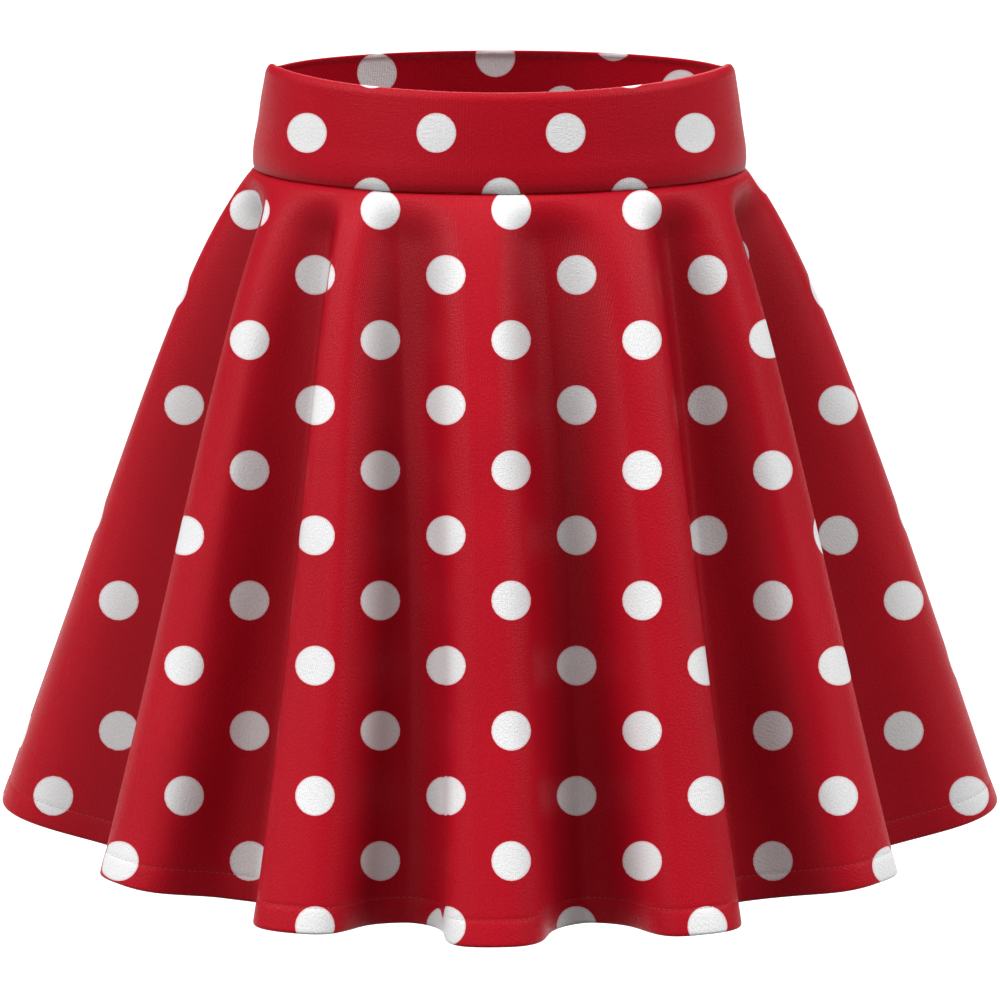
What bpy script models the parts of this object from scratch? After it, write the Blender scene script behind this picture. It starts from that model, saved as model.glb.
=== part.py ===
"""A short flared skirt on a deep waistband, open and filled out as it is when worn.

Units are metres. +Z is up and the front faces -Y. The origin is the middle of the waist ring,
half way up the waistband. Angles of the cloth are those that its ring's outward normal faces:
0 is the front, 90 degrees the +X side and 180 the back.
"""

import math
from collections import namedtuple

import bpy
from mathutils import Vector

# Waistband: doubled cloth round an elliptical waist, a little wider at the waist seam.
WAIST_HALF_WIDTH = 0.1204
WAIST_HALF_DEPTH = 0.0905
SEAM_HALF_WIDTH = 0.1285
SEAM_HALF_DEPTH = 0.0985
BAND_HEIGHT = 0.0500
BAND_THICKNESS = 0.0024
BAND_PUFF = 0.0006
BAND_TOP_Z = BAND_HEIGHT / 2
# The band's top edge rises from the middle of the front to the sides and falls behind the side seams.
RIM_RISE = 0.0052
RIM_RISE_FULL = math.radians(75.0)
RIM_RISE_GONE = math.radians(112.0)

# Skirt: one layer, measured down the cloth from the waist seam to the hem.
SKIRT_LENGTH = 0.3630
SKIRT_THICKNESS = 0.0014
SEAM_INSET = 0.0006
FLARE = 0.300
HIP_OUT = 0.012
HIP_LENGTH = 0.045

# Folds: how far below the seam they start, how their crests and valleys deepen, over what length a
# valley eases in, how sharp it is against a plain wave, how the flanks lean over, and how much a
# crest is lifted and a valley sinks for each metre that it stands out or in.
FOLD_START = 0.004
CREST_POWER = 0.72
VALLEY_POWER = 0.42
VALLEY_BEGINS = 0.026
VALLEY_SHARPNESS = 0.5
OVERHANG = 0.0028
CREST_LIFT = 0.015
VALLEY_SINK = 0.27

# Cut edges of neighbouring pieces lie 0.3 mm apart. The band's foot slants down inwards, so the
# skirt starts a little lower to keep that gap.
SEAM_GAP = 0.0003
SEAM_DROP = 0.0004

# Faces of the walls. Rows of the skirt crowd towards the waist seam.
COLUMNS_PER_FOLD = 16
SKIRT_ROWS = 9
ROW_CROWDING = 1.35
BAND_COLUMNS = 36
BAND_ROWS = 3
DROP_STEPS = 48
DIFFERENCE_STEP = 1e-4
SHARP_ANGLE = math.radians(50.0)

# The ring of every piece is followed from the -X side seam, round the front.
FIRST_SIDE_SEAM = math.radians(-90.0)
MILLIMETRE = 0.001

# Each fold is a crest and the valley after it, turning from the front towards +X. Angles are in
# degrees at the seam and at the hem. "out" and "dip" are the crest's and the valley's distance from
# the plain flare at the hem in millimetres. "left" and "right" say how steep the crest's flanks are.
Fold = namedtuple("Fold", "crest_seam crest_hem valley_seam valley_hem out dip left right")
FOLDS = (
    Fold(-90.0, -90.0, -70.0, -63.0, 18, 48, 1.2, 1.2),
    Fold(-48.5, -44.0, -35.0, -31.0, 7, 34, 1.5, 1.1),
    Fold(-27.0, -19.2, -18.5, -9.9, 25, 22, 1.7, 1.3),
    Fold(-3.0, -0.6, 7.0, 9.5, 30, 24, 1.7, 1.5),
    Fold(22.0, 18.4, 34.0, 30.7, 27, 38, 1.3, 1.5),
    Fold(47.0, 44.5, 68.0, 62.5, 5, 50, 1.1, 1.5),
    Fold(90.0, 90.0, 112.0, 114.0, 18, 40, 1.2, 1.3),
    Fold(131.0, 130.0, 144.0, 146.0, 12, 32, 1.5, 1.3),
    Fold(156.0, 158.0, 167.0, 167.5, 22, 27, 1.3, 1.5),
    Fold(178.0, 177.0, 189.0, 187.0, 26, 25, 1.5, 1.3),
    Fold(200.0, 197.0, 211.0, 213.5, 21, 32, 1.4, 1.2),
    Fold(227.0, 229.0, 250.0, 251.0, 13, 38, 1.5, 1.3),
)
FRONT_FOLDS = 6

RED_KNIT = (0.456, 0.0052, 0.0159, 1.0)


def clear_scene():
    for obj in list(bpy.data.objects):
        bpy.data.objects.remove(obj, do_unlink=True)


def smooth(share):
    """Soft step from 0 to 1."""
    share = min(max(share, 0.0), 1.0)
    return share * share * (3.0 - 2.0 * share)


def ring_point(half_width, half_depth, facing):
    """Point of an elliptical ring where its outward normal faces this way."""
    across = math.sin(facing)
    ahead = math.cos(facing)
    scale = math.hypot(half_width * across, half_depth * ahead)
    return Vector((half_width**2 * across / scale, -(half_depth**2) * ahead / scale, 0.0))


def rim_rise(facing):
    """How far the band's top edge stands above its middle in front."""
    aside = abs((facing + math.pi) % math.tau - math.pi)
    falling = (RIM_RISE_GONE - aside) / (RIM_RISE_GONE - RIM_RISE_FULL)
    return RIM_RISE * smooth(aside / RIM_RISE_FULL) * smooth(falling)


def band_point(turn, down):
    """Outer face of the waistband: turn is a share of the whole ring from -X, down from 0 to 1."""
    facing = FIRST_SIDE_SEAM + math.tau * turn
    width = WAIST_HALF_WIDTH + (SEAM_HALF_WIDTH - WAIST_HALF_WIDTH) * down
    depth = WAIST_HALF_DEPTH + (SEAM_HALF_DEPTH - WAIST_HALF_DEPTH) * down
    puff = BAND_PUFF * math.sin(math.pi * down)
    point = ring_point(width, depth, facing)
    point += Vector((math.sin(facing), -math.cos(facing), 0.0)) * puff
    point.z = BAND_TOP_Z - BAND_HEIGHT * down + rim_rise(facing) * (1.0 - down)
    return point


def flare_out(length):
    """How far out of the seam the plain flare stands, this far down the cloth."""
    return FLARE * length + HIP_OUT * (1.0 - math.exp(-length / HIP_LENGTH))


def flare_drop(length):
    """Height lost by the plain flare, this far down the cloth."""
    part = length / DROP_STEPS
    drop = 0.0
    for step in range(DROP_STEPS):
        outward = flare_out((step + 1) * part) - flare_out(step * part)
        drop += math.sqrt(part**2 - outward**2)
    return drop


def fold_at(turn, down):
    """Facing angle, crest, valley and phase of the cloth at the hem's depth of folds.

    A whole number in turn is a fold's crest, where "crest" is its full height and "valley" is 0.
    """
    index = math.floor(turn)
    share = turn - index
    lap = math.tau * (index // len(FOLDS))
    fold = FOLDS[index % len(FOLDS)]
    after = FOLDS[(index + 1) % len(FOLDS)]
    upper = (1.0 - down) ** 2
    valley = fold.valley_hem + (fold.valley_seam - fold.valley_hem) * upper
    if share < 0.5:
        crest = fold.crest_hem + (fold.crest_seam - fold.crest_hem) * upper
        rise, steep, side = fold.out, fold.right, 1.0
    else:
        crest = after.crest_hem + (after.crest_seam - after.crest_hem) * upper
        crest += 360.0 if after is FOLDS[0] else 0.0
        rise, steep, side = after.out, after.left, -1.0
        share = 1.0 - share
    away = 2.0 * share
    facing = math.radians(crest + (valley - crest) * away) + lap
    phase = math.pi * away**steep / (away**steep + (1.0 - away) ** steep)
    wave = math.cos(phase)
    wave += VALLEY_SHARPNESS * (2.0 * math.cos(phase / 2) - 1.0 - wave)
    crest_part = rise * (1.0 + wave) / 2 * MILLIMETRE
    valley_part = fold.dip * (1.0 - wave) / 2 * MILLIMETRE
    return facing, crest_part, valley_part, side * phase


def skirt_point(turn, down):
    """Outer face of the skirt: turn counts folds from -X through the front, down from 0 to 1."""
    facing, rise, dip, phase = fold_at(turn, down)
    length = SKIRT_LENGTH * down
    begun = max(length - FOLD_START, 0.0) / (SKIRT_LENGTH - FOLD_START)
    growth = begun**CREST_POWER
    rise *= growth
    dip *= begun**VALLEY_POWER * smooth(length / VALLEY_BEGINS)
    outward = flare_out(length) - SEAM_INSET + rise - dip
    aside = OVERHANG * math.sin(2.0 * phase) * growth**2
    across = math.sin(facing)
    ahead = math.cos(facing)
    point = ring_point(SEAM_HALF_WIDTH, SEAM_HALF_DEPTH, facing)
    point += Vector((across, -ahead, 0.0)) * outward
    point += Vector((ahead, across, 0.0)) * aside
    point.z = BAND_TOP_Z - BAND_HEIGHT - SEAM_DROP - flare_drop(length)
    point.z += CREST_LIFT * rise - VALLEY_SINK * dip
    return point


def outward_normal(surface, turn, down):
    """Unit normal of a surface, from differences either side of the point."""
    step = DIFFERENCE_STEP
    above = max(down - step, 0.0)
    below = min(down + step, 1.0)
    along = surface(turn + step, down) - surface(turn - step, down)
    descent = surface(turn, below) - surface(turn, above)
    return descent.cross(along).normalized()


def cloth_wall(name, surface, turns, downs, thickness, front):
    """Closed wall between a surface and its offset inwards, over a grid of turns and downs.

    The front half stays on the -Y side of the side seams and the back half on the +Y side.
    """
    side = -1.0 if front else 1.0
    outer = []
    inner = []
    for down in downs:
        for turn in turns:
            point = surface(turn, down)
            normal = outward_normal(surface, turn, down)
            for face, depth in ((outer, 0.0), (inner, thickness)):
                corner = point - normal * depth
                corner.y = side * max(side * corner.y, SEAM_GAP / 2)
                face.append(corner)
    columns = len(turns)
    rows = len(downs)
    count = columns * rows
    faces = []
    for row in range(rows - 1):
        for column in range(columns - 1):
            a = row * columns + column
            b = a + columns
            faces.append((a, b, b + 1, a + 1))
            faces.append((count + a, count + a + 1, count + b + 1, count + b))
    top = range(columns)
    foot = range((rows - 1) * columns, count)
    start = range(0, count, columns)
    end = range(columns - 1, count, columns)
    for edge, flipped in ((top, False), (foot, True), (start, True), (end, False)):
        for a, b in zip(edge, edge[1:]):
            rim = (a, b, count + b, count + a)
            faces.append(rim[::-1] if flipped else rim)
    mesh = bpy.data.meshes.new(name)
    mesh.from_pydata([tuple(corner) for corner in outer + inner], [], faces)
    mesh.shade_smooth()
    mesh.set_sharp_from_angle(angle=SHARP_ANGLE)
    obj = bpy.data.objects.new(name, mesh)
    bpy.context.scene.collection.objects.link(obj)
    return obj


def knit_material(name):
    material = bpy.data.materials.new(name)
    material.use_nodes = True
    shader = material.node_tree.nodes["Principled BSDF"]
    shader.inputs["Base Color"].default_value = RED_KNIT
    shader.inputs["Roughness"].default_value = 0.75
    shader.inputs["Metallic"].default_value = 0.0
    return material


def evenly(first, last, steps):
    return [first + (last - first) * step / steps for step in range(steps + 1)]


def build_waistband():
    """Front and back halves of the band, joined at the sides."""
    downs = evenly(0.0, 1.0, BAND_ROWS)
    for name, start in (("waistband_front", 0.0), ("waistband_back", 0.5)):
        turns = evenly(start, start + 0.5, BAND_COLUMNS)
        half = cloth_wall(name, band_point, turns, downs, BAND_THICKNESS, start == 0.0)
        half.data.materials.append(knit_material(name))


def build_skirt():
    """Front and back halves of the skirt, which meet on the crests at the sides."""
    downs = [share**ROW_CROWDING for share in evenly(0.0, 1.0, SKIRT_ROWS)]
    spans = (("skirt_front", 0, FRONT_FOLDS), ("skirt_back", FRONT_FOLDS, len(FOLDS)))
    for name, first, last in spans:
        turns = evenly(first, last, (last - first) * COLUMNS_PER_FOLD)
        half = cloth_wall(name, skirt_point, turns, downs, SKIRT_THICKNESS, first == 0)
        half.data.materials.append(knit_material(name))


def main():
    clear_scene()
    build_waistband()
    build_skirt()


main()
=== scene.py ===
"""Finished look of a short circle skirt in dotted knit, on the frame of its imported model.

Units are metres, +Z is up and the front faces -Y, as in the frame. Cloth is followed by "turn",
which counts the folds from the -X side seam round the front, and by its length down from the seam.
"""

import math
from collections import namedtuple

import bpy
import numpy as np
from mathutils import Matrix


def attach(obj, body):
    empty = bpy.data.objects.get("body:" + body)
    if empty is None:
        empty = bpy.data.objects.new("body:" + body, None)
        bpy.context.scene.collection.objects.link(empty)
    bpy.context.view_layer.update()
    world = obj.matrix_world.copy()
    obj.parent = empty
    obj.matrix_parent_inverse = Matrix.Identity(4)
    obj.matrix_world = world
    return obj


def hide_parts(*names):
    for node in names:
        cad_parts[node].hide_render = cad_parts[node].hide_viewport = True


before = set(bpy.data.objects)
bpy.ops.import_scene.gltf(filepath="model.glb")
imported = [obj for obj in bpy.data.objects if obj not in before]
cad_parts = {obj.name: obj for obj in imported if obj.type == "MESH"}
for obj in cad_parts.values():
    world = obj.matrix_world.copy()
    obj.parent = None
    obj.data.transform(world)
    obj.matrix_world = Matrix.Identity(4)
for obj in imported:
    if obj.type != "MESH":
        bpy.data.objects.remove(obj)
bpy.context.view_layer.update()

BODY = "root"
MILLIMETRE = 0.001

# ---------------------------------------------------------------------------------------------
# Sizes of the garment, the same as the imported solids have
# ---------------------------------------------------------------------------------------------

WAIST_HALF_WIDTH = 0.1204
WAIST_HALF_DEPTH = 0.0905
SEAM_HALF_WIDTH = 0.1285
SEAM_HALF_DEPTH = 0.0985
BAND_HEIGHT = 0.0500
BAND_THICKNESS = 0.0024
BAND_PUFF = 0.0006
BAND_TOP_Z = BAND_HEIGHT / 2
# The band's top edge rises from the middle of the front to the sides and falls behind the side seams.
RIM_RISE = 0.0052
RIM_RISE_FULL = math.radians(75.0)
RIM_RISE_GONE = math.radians(112.0)

SKIRT_LENGTH = 0.3630
SKIRT_THICKNESS = 0.0012
SEAM_INSET = 0.0006
SEAM_DROP = 0.0002
FLARE = 0.300
HIP_OUT = 0.012
HIP_LENGTH = 0.045

# Folds: how far below the seam they start, how their crests and valleys deepen, over what length a
# valley eases in, how sharp it is against a plain wave, how far the flanks lean over, and how much a
# crest is lifted and a valley sinks for each metre that it stands out or in.
FOLD_START = 0.004
CREST_POWER = 0.72
VALLEY_POWER = 0.42
VALLEY_BEGINS = 0.026
VALLEY_SHARPNESS = 0.5
OVERHANG = 0.0028
CREST_LIFT = 0.015
VALLEY_SINK = 0.27

# Each fold is a crest and the valley after it, turning from the front towards +X. Angles are in
# degrees at the seam and at the hem. "out" and "dip" are the crest's and the valley's distance from
# the plain flare at the hem in millimetres. "left" and "right" say how steep the crest's flanks are.
Fold = namedtuple("Fold", "crest_seam crest_hem valley_seam valley_hem out dip left right")
FOLDS = (
    Fold(-90.0, -90.0, -70.0, -63.0, 18, 48, 1.2, 1.2),
    Fold(-48.5, -44.0, -35.0, -31.0, 7, 34, 1.5, 1.1),
    Fold(-27.0, -19.2, -18.5, -9.9, 25, 22, 1.7, 1.3),
    Fold(-3.0, -0.6, 7.0, 9.5, 30, 24, 1.7, 1.5),
    Fold(22.0, 18.4, 34.0, 30.7, 27, 38, 1.3, 1.5),
    Fold(47.0, 44.5, 68.0, 62.5, 5, 50, 1.1, 1.5),
    Fold(90.0, 90.0, 112.0, 114.0, 18, 40, 1.2, 1.3),
    Fold(131.0, 130.0, 144.0, 146.0, 12, 32, 1.5, 1.3),
    Fold(156.0, 158.0, 167.0, 167.5, 22, 27, 1.3, 1.5),
    Fold(178.0, 177.0, 189.0, 187.0, 26, 25, 1.5, 1.3),
    Fold(200.0, 197.0, 211.0, 213.5, 21, 32, 1.4, 1.2),
    Fold(227.0, 229.0, 250.0, 251.0, 13, 38, 1.5, 1.3),
)
FRONT_FOLDS = 6
TURN_ENDS = {"front": (0, FRONT_FOLDS), "back": (FRONT_FOLDS, len(FOLDS))}
MIDDLE = {"front": 0.0, "back": math.pi}
SIDE = {"front": -1, "back": 1}

# ---------------------------------------------------------------------------------------------
# Fine shape of the cloth
# ---------------------------------------------------------------------------------------------

# Top edge of the band: both layers roll inwards over the last millimetres.
ROLL_HEIGHT = 0.0046
ROLL_IN = 0.0020
# Foot of the band: it swells a little and then turns in to the waist seam.
SWELL_HEIGHT = 0.0110
SWELL_OUT = 0.0004
TURN_IN_HEIGHT = 0.0060
TURN_IN = 0.0012
# Top of the skirt: it comes out from under the band.
TURN_OUT_LENGTH = 0.0030
TURN_OUT = 0.0012
# Side seams are shallow grooves.
GROOVE_DEPTH = 0.0007
GROOVE_HALF_WIDTH = 0.0016
# The hem is turned up once inside and stitched, and it is a little fuller below the stitches.
HEM_DEPTH = 0.0125
HEM_FULLNESS = 0.0004
HEM_FULL_SHARE = 0.3
STITCH_GROOVE = 0.0003
STITCH_GROOVE_HALF_WIDTH = 0.0011
# Seam allowances and the turned-up hem thicken the inside, and end in these steps.
ALLOWANCE_WIDTH = 0.0070
ALLOWANCE_THICKNESS = 0.0011
ALLOWANCE_STEP = 0.0015
SIDE_ALLOWANCE_STEP = 0.0020
# Both halves keep this far from the plane of the side seams.
SEAM_CLEARANCE = 0.00002

# Painted shade: the colour is darkened from the crests into the valleys and just above the waist seam,
# where shade falls. It is full at this share of a valley's depth, and it comes in over the same length
# as the valleys.
PAINTED_SHADE_FULL = 0.80
PAINTED_SHADE_RATE = 0.70
SEAM_PAINTED_SHADE = 0.9
SEAM_PAINTED_SHADE_HEIGHT = 0.0040

# Smaller creases that run down the flutes. "turn" is where a crease starts, and it drifts to the
# side on its way from "top" to "foot", which are shares of the skirt's length. "width" is in turns
# and "height" in millimetres, negative for a trough.
Crease = namedtuple("Crease", "turn drift top foot width height")
CREASES = (
    Crease(0.62, 0.04, 0.05, 0.62, 0.070, -1.1),
    Crease(0.30, -0.03, 0.30, 1.25, 0.090, 1.2),
    Crease(1.12, 0.05, 0.10, 0.80, 0.050, 0.9),
    Crease(1.34, 0.04, 0.45, 1.30, 0.060, -0.9),
    Crease(2.18, 0.03, 0.04, 0.55, 0.045, -0.8),
    Crease(2.30, -0.04, 0.50, 1.30, 0.050, 0.8),
    Crease(3.14, 0.05, 0.25, 1.20, 0.045, -0.7),
    Crease(2.90, 0.02, 0.08, 0.60, 0.040, 0.7),
    Crease(3.90, 0.05, 0.06, 0.70, 0.060, -0.9),
    Crease(4.22, -0.03, 0.35, 1.30, 0.050, 0.8),
    Crease(4.86, 0.06, 0.10, 0.85, 0.060, 1.0),
    Crease(5.18, 0.04, 0.50, 1.30, 0.070, -1.1),
    Crease(5.70, -0.03, 0.05, 0.65, 0.060, 0.9),
    Crease(6.35, 0.05, 0.20, 1.10, 0.080, -1.2),
    Crease(6.80, -0.04, 0.05, 0.55, 0.060, 0.9),
    Crease(7.25, 0.04, 0.30, 1.25, 0.060, 0.9),
    Crease(7.88, 0.03, 0.06, 0.75, 0.050, -0.8),
    Crease(8.24, -0.05, 0.40, 1.30, 0.060, -0.9),
    Crease(8.84, 0.03, 0.08, 0.60, 0.050, 0.8),
    Crease(9.22, 0.04, 0.15, 1.00, 0.050, -0.7),
    Crease(9.86, -0.03, 0.30, 1.25, 0.060, 0.9),
    Crease(10.20, 0.04, 0.05, 0.65, 0.055, 0.8),
    Crease(10.72, 0.05, 0.35, 1.25, 0.070, -1.0),
    Crease(11.28, -0.04, 0.08, 0.80, 0.070, 1.0),
    Crease(11.66, 0.03, 0.35, 1.25, 0.080, -1.1),
)

# Slow unevenness of cloth that hangs freely: waves in turns and in lengths of the skirt, or once
# round the band and in its heights. "height" is in millimetres. On the skirt, creases and unevenness
# come in over this length.
Ripple = namedtuple("Ripple", "per_turn per_length shift height")
RIPPLES = (
    Ripple(1.30, 0.70, 0.4, 0.34),
    Ripple(2.10, -1.10, 1.9, 0.22),
    Ripple(3.70, 1.60, 3.1, 0.12),
)
BAND_RIPPLES = (
    Ripple(5.0, 0.30, 0.7, 0.20),
    Ripple(11.0, -0.50, 2.2, 0.12),
    Ripple(23.0, 0.80, 4.0, 0.05),
)
UNEVEN_BEGINS = 0.05

# Points of the flare's profile, and steps in turns or angle and in length for the slope of the cloth.
DROP_STEPS = 400
SLOPE_STEP = 2e-4
# The surfaces go on for this far past the edges of the cloth, for dots that are cut by an edge.
PRINT_MARGIN = 0.024

FOLD_TABLE = np.array(FOLDS, float)
FOLD_COLUMN = {name: FOLD_TABLE[:, place] for place, name in enumerate(Fold._fields)}


def smooth(share):
    share = np.clip(share, 0.0, 1.0)
    return share * share * (3.0 - 2.0 * share)


def bell(distance, half_width):
    return np.exp(-((distance / half_width) ** 2))


def ring(half_width, half_depth, facing):
    """Points of an elliptical ring where its outward normal faces this way."""
    across = np.sin(facing)
    ahead = np.cos(facing)
    scale = np.hypot(half_width * across, half_depth * ahead)
    return half_width**2 * across / scale, -(half_depth**2) * ahead / scale


def ripple(ripples, turn, down):
    total = 0.0
    for wave in ripples:
        total = total + wave.height * np.sin(
            math.tau * (wave.per_turn * turn + wave.per_length * down) + wave.shift
        )
    return total * MILLIMETRE


def flare_out(length):
    """How far out of the seam the plain flare stands, this far down the cloth."""
    return FLARE * length + HIP_OUT * (1.0 - np.exp(-length / HIP_LENGTH))


DROP_LENGTHS = np.linspace(-PRINT_MARGIN, SKIRT_LENGTH + PRINT_MARGIN, DROP_STEPS)
DROP_PARTS = np.sqrt(np.diff(DROP_LENGTHS) ** 2 - np.diff(flare_out(DROP_LENGTHS)) ** 2)
DROP_HEIGHTS = np.concatenate(([0.0], np.cumsum(DROP_PARTS)))
DROP_HEIGHTS = DROP_HEIGHTS - np.interp(0.0, DROP_LENGTHS, DROP_HEIGHTS)


def flare_drop(length):
    """Height lost by the plain flare, this far down the cloth."""
    return np.interp(length, DROP_LENGTHS, DROP_HEIGHTS)


def fold_at(turn, down):
    """Facing angle, crest, valley and phase of the cloth at the hem's depth of folds.

    A whole number in turn is a fold's crest, where "crest" is its full height and "valley" is 0.
    """
    index = np.floor(turn).astype(int)
    here = index % len(FOLDS)
    after = (index + 1) % len(FOLDS)
    lap = index // len(FOLDS) * 360.0
    share = turn - index
    leaving = share < 0.5
    upper = (1.0 - np.clip(down, 0.0, 1.0)) ** 2
    near = np.where(leaving, here, after)

    def angle(name, fold):
        hem = FOLD_COLUMN[name + "_hem"][fold]
        return hem + (FOLD_COLUMN[name + "_seam"][fold] - hem) * upper

    crest = angle("crest", near) + np.where(~leaving & (after == 0), 360.0, 0.0)
    valley = angle("valley", here)
    away = np.clip(np.where(leaving, 2.0 * share, 2.0 * (1.0 - share)), 0.0, 1.0)
    facing = np.radians(crest + (valley - crest) * away + lap)
    steep = np.where(leaving, FOLD_COLUMN["right"][near], FOLD_COLUMN["left"][near])
    phase = math.pi * away**steep / (away**steep + (1.0 - away) ** steep)
    wave = np.cos(phase)
    wave = wave + VALLEY_SHARPNESS * (2.0 * np.cos(phase / 2) - 1.0 - wave)
    crest_part = FOLD_COLUMN["out"][near] * (1.0 + wave) / 2 * MILLIMETRE
    valley_part = FOLD_COLUMN["dip"][here] * (1.0 - wave) / 2 * MILLIMETRE
    return facing, crest_part, valley_part, np.where(leaving, phase, -phase)


def painted_valley_shade(turn, length):
    """Mask of the painted shade in the valleys: how far the cloth is down in a valley, from 0 on a
    crest to 1.
    """
    down = length / SKIRT_LENGTH
    deepest = FOLD_COLUMN["dip"][np.floor(turn).astype(int) % len(FOLDS)] * MILLIMETRE
    share = fold_at(turn, down)[2] / deepest
    share = np.clip(share / PAINTED_SHADE_FULL, 0.0, 1.0) ** PAINTED_SHADE_RATE
    return share * smooth(length / VALLEY_BEGINS)


def crease_height(turn, down):
    total = 0.0
    for crease in CREASES:
        along = (down - crease.top) / (crease.foot - crease.top)
        fade = np.sin(math.pi * np.clip(along, 0.0, 1.0)) ** 2
        place = crease.turn + crease.drift * along
        total = total + crease.height * fade * bell(turn - place, crease.width)
    return total * MILLIMETRE


def plain_skirt(facing, length):
    """The smooth cone that the folds swing about."""
    x, y = ring(SEAM_HALF_WIDTH, SEAM_HALF_DEPTH, facing)
    outward = flare_out(length) - SEAM_INSET
    z = BAND_TOP_Z - BAND_HEIGHT - SEAM_DROP - flare_drop(length)
    return np.stack([x + np.sin(facing) * outward, y - np.cos(facing) * outward, z + 0 * facing], -1)


def side_distance(facing, length):
    """Distance along the ring to the nearer side seam, roughly."""
    radius = (SEAM_HALF_WIDTH + SEAM_HALF_DEPTH) / 2 + flare_out(length)
    return radius * np.abs(np.cos(facing))


def skirt_surface(turn, length):
    """Outer face of the finished skirt."""
    down = length / SKIRT_LENGTH
    facing, crest, valley, phase = fold_at(turn, down)
    begun = np.clip((length - FOLD_START) / (SKIRT_LENGTH - FOLD_START), 0.0, None)
    growth = begun**CREST_POWER
    crest = crest * growth
    valley = valley * begun**VALLEY_POWER * smooth(length / VALLEY_BEGINS)
    fine = (crease_height(turn, down) + ripple(RIPPLES, turn, down)) * smooth(length / UNEVEN_BEGINS)
    fine = fine - TURN_OUT * (1.0 - smooth(length / TURN_OUT_LENGTH))
    from_hem = SKIRT_LENGTH - length
    fine = fine + HEM_FULLNESS * (1.0 - smooth(from_hem / HEM_DEPTH - HEM_FULL_SHARE))
    fine = fine - STITCH_GROOVE * bell(from_hem - HEM_DEPTH, STITCH_GROOVE_HALF_WIDTH)
    fine = fine - GROOVE_DEPTH * bell(side_distance(facing, length), GROOVE_HALF_WIDTH)
    point = plain_skirt(facing, length)
    outward = crest - valley + fine
    aside = OVERHANG * np.sin(2.0 * phase) * growth**2
    across = np.sin(facing)
    ahead = np.cos(facing)
    point[..., 0] += across * outward + ahead * aside
    point[..., 1] += -ahead * outward + across * aside
    point[..., 2] += CREST_LIFT * crest - VALLEY_SINK * valley
    return point


def rim_rise(facing):
    """How far the band's top edge stands above its middle in front."""
    aside = np.abs((facing + math.pi) % math.tau - math.pi)
    falling = (RIM_RISE_GONE - aside) / (RIM_RISE_GONE - RIM_RISE_FULL)
    return RIM_RISE * smooth(aside / RIM_RISE_FULL) * smooth(falling)


def plain_band(facing, drop):
    """Smooth outer face of the waistband, this far below its top edge."""
    down = drop / BAND_HEIGHT
    width = WAIST_HALF_WIDTH + (SEAM_HALF_WIDTH - WAIST_HALF_WIDTH) * down
    depth = WAIST_HALF_DEPTH + (SEAM_HALF_DEPTH - WAIST_HALF_DEPTH) * down
    x, y = ring(width, depth, facing)
    puff = BAND_PUFF * np.sin(math.pi * down)
    z = BAND_TOP_Z - drop + rim_rise(facing) * (1.0 - down)
    return np.stack([x + np.sin(facing) * puff, y - np.cos(facing) * puff, z], -1)


def band_surface(facing, drop):
    """Outer face of the finished waistband."""
    point = plain_band(facing, drop)
    from_seam = BAND_HEIGHT - drop
    out = -ROLL_IN * (1.0 - np.clip(drop / ROLL_HEIGHT, 0.0, 1.0)) ** 2
    out = out + SWELL_OUT * bell(from_seam - SWELL_HEIGHT, SWELL_HEIGHT / 2)
    out = out - TURN_IN * (1.0 - np.clip(from_seam / TURN_IN_HEIGHT, 0.0, 1.0)) ** 2
    out = out + ripple(BAND_RIPPLES, facing / math.tau, drop / BAND_HEIGHT)
    out = out - GROOVE_DEPTH * bell(side_distance(facing, 0.0), GROOVE_HALF_WIDTH)
    point[..., 0] += np.sin(facing) * out
    point[..., 1] -= np.cos(facing) * out
    return point


def run_along(path):
    """Distance run along a path at each of its points."""
    return np.concatenate([[0.0], np.cumsum(np.linalg.norm(np.diff(path, axis=0), axis=-1))])


def normal_of(surface, first, second, step_first, step_second):
    along = surface(first + step_first, second) - surface(first - step_first, second)
    descent = surface(first, second + step_second) - surface(first, second - step_second)
    normal = np.cross(descent, along)
    return normal / np.linalg.norm(normal, axis=-1, keepdims=True)


# ---------------------------------------------------------------------------------------------
# Print: polka dots on staggered rows
# ---------------------------------------------------------------------------------------------

# The print lies flat as seen from well in front of the skirt, a little from above: its dots keep
# their even rows and columns across the flutes. The back has the mirrored layout, and the sides
# have one of their own where neither of them faces. Sizes in the flat view are true at this distance.
PRINT_DISTANCE = 2.1
PRINT_EYE_BACK = 2.168
PRINT_EYE_UP = 0.294
PRINT_TILT = math.radians(12.9)
DOT_RADIUS = 0.00988
FRONT = 0.0
RIGHT = math.pi / 2
BACK = math.pi
LEFT = -math.pi / 2

# A print grid: where one dot lies, to the right and down in the flat view, the distance of the dots
# in a row and of the rows, and how much the rows climb to the right.
Grid = namedtuple("Grid", "right down pitch row climb")
SKIRT_GRID = Grid(0.0056, -0.1443, 0.0653, 0.0325, 0.0)
SKIRT_SIDE_GRID = Grid(0.0, -0.1395, 0.0653, 0.0330, 0.0)
BAND_GRID = Grid(-0.0318, -0.1827, 0.0646, 0.03225, 0.0)
BAND_SIDE_GRID = Grid(0.0, -0.1745, 0.0660, 0.0322, 0.0)
LINING_GRID = Grid(-0.0023, -0.2205, 0.0596, 0.0285, math.radians(7.7))
LINING_SIDE_GRID = Grid(0.030, -0.2050, 0.0600, 0.0300, 0.0)

# A panel of print: its grid, the azimuth that it is seen from, its cloth as a function of a place
# round the ring and one down it, which way its normal points, the facing angle of a place, and the
# places where it ends round the ring and down it. "apart" is how far its dots stay from the dots
# before them. "side" is true for the panels of the sides.
Panel = namedtuple("Panel", "grid view surface sign facing ends down apart side")

# A dot: its middle, the direction that it is laid on the cloth from, its radius, and whether it is
# round on the cloth itself instead.
Dot = namedtuple("Dot", "middle laid radius round")

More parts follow.
